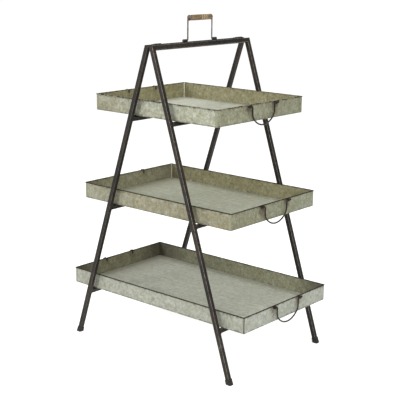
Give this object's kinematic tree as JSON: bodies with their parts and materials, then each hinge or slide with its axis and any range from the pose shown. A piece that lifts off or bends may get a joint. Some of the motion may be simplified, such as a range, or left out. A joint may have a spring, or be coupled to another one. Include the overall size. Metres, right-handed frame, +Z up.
{
  "type": "folding a-frame display shelf",
  "caption": "A-frame display shelf: hinged square tube frames carry stepped open sheet metal trays with wire bails, under a wooden carrying grip.",
  "frame": {"origin": "middle of the stand's outline on the floor, under the fold axis", "axes": "+Z up, +X along the trays towards the frame whose bar carries the handle's clips, +Y along the fold axis"},
  "size_m": [0.6442, 0.4058, 0.9162],
  "materials": {
    "frame_tube": "dark brown-black, worn lighter along the edges",
    "fittings": "dark worn steel",
    "galvanised_sheet": "weathered galvanised sheet with spangle",
    "bail_wire": "dark rusty wire",
    "handle_wire": "grey wire",
    "grip_wood": "turned and oiled, honey brown",
    "foot_cap": "matt black"
  },
  "bodies": {
    "right_frame": {"right_leg_near": "frame_tube", "right_leg_far": "frame_tube", "right_top_bar": "frame_tube", "right_crossbar_top": "frame_tube", "right_crossbar_middle": "frame_tube", "right_crossbar_bottom": "frame_tube", "right_foot_near": "foot_cap", "right_foot_far": "foot_cap", "right_hinge_leaf_near": "fittings", "right_hinge_leaf_far": "fittings", "hinge_pin_near": "fittings", "hinge_pin_far": "fittings", "handle_clip_near": "fittings", "handle_clip_far": "fittings"},
    "left_frame": {"left_leg_near": "frame_tube", "left_leg_far": "frame_tube", "left_top_bar": "frame_tube", "left_crossbar_top": "frame_tube", "left_crossbar_middle": "frame_tube", "left_crossbar_bottom": "frame_tube", "left_foot_near": "foot_cap", "left_foot_far": "foot_cap", "left_hinge_leaf_near": "fittings", "left_hinge_leaf_far": "fittings"},
    "carrying_handle": {"handle_wire": "handle_wire"},
    "grip": {"handle_grip": "grip_wood"},
    "top_tray": {"top_tray_pan": "galvanised_sheet", "top_tray_eye_left_near": "bail_wire", "top_tray_eye_left_far": "bail_wire", "top_tray_eye_right_near": "bail_wire", "top_tray_eye_right_far": "bail_wire"},
    "top_bail_left": {"top_tray_bail_left": "bail_wire"},
    "top_bail_right": {"top_tray_bail_right": "bail_wire"},
    "middle_tray": {"middle_tray_pan": "galvanised_sheet", "middle_tray_eye_left_near": "bail_wire", "middle_tray_eye_left_far": "bail_wire", "middle_tray_eye_right_near": "bail_wire", "middle_tray_eye_right_far": "bail_wire"},
    "middle_bail_left": {"middle_tray_bail_left": "bail_wire"},
    "middle_bail_right": {"middle_tray_bail_right": "bail_wire"},
    "bottom_tray": {"bottom_tray_pan": "galvanised_sheet", "bottom_tray_eye_left_near": "bail_wire", "bottom_tray_eye_left_far": "bail_wire", "bottom_tray_eye_right_near": "bail_wire", "bottom_tray_eye_right_far": "bail_wire"},
    "bottom_bail_left": {"bottom_tray_bail_left": "bail_wire"},
    "bottom_bail_right": {"bottom_tray_bail_right": "bail_wire"}
  },
  "joints": [
    {"name": "frame_fold", "type": "hinge", "parent": "right_frame", "child": "left_frame", "pos_m": [0, 0, 0.845], "axis": [0, -1, 0], "range_deg": [0, 35.7]},
    {"name": "handle_swing", "type": "hinge", "parent": "right_frame", "child": "carrying_handle", "pos_m": [0, 0, 0.8494], "axis": [0, 1, 0], "range_deg": [-90, 90]},
    {"name": "grip_spin", "type": "hinge", "parent": "carrying_handle", "child": "grip", "pos_m": [0, 0, 0.9084], "axis": [0, 1, 0], "continuous": true},
    {"name": "top_tray_draw", "type": "slide", "parent": "right_frame", "child": "top_tray", "axis": [0.9659, 0, 0.2588], "range_m": [0, 0.3]},
    {"name": "top_bail_left_swing", "type": "hinge", "parent": "top_tray", "child": "top_bail_left", "pos_m": [-0.2209, 0, 0.6968], "axis": [0, 1, 0], "range_deg": [-5, 208]},
    {"name": "top_bail_right_swing", "type": "hinge", "parent": "top_tray", "child": "top_bail_right", "pos_m": [0.2209, 0, 0.6968], "axis": [0, -1, 0], "range_deg": [-5, 208]},
    {"name": "middle_tray_draw", "type": "slide", "parent": "right_frame", "child": "middle_tray", "axis": [0.9659, 0, 0.2588], "range_m": [0, 0.425]},
    {"name": "middle_bail_left_swing", "type": "hinge", "parent": "middle_tray", "child": "middle_bail_left", "pos_m": [-0.2699, 0, 0.4418], "axis": [0, 1, 0], "range_deg": [-5, 208]},
    {"name": "middle_bail_right_swing", "type": "hinge", "parent": "middle_tray", "child": "middle_bail_right", "pos_m": [0.2699, 0, 0.4418], "axis": [0, -1, 0], "range_deg": [-5, 208]},
    {"name": "bottom_tray_draw", "type": "slide", "parent": "right_frame", "child": "bottom_tray", "axis": [0.9659, 0, 0.2588], "range_m": [0, 0.555]},
    {"name": "bottom_bail_left_swing", "type": "hinge", "parent": "bottom_tray", "child": "bottom_bail_left", "pos_m": [-0.3179, 0, 0.1808], "axis": [0, 1, 0], "range_deg": [-5, 208]},
    {"name": "bottom_bail_right_swing", "type": "hinge", "parent": "bottom_tray", "child": "bottom_bail_right", "pos_m": [0.3179, 0, 0.1808], "axis": [0, -1, 0], "range_deg": [-5, 208]}
  ]
}
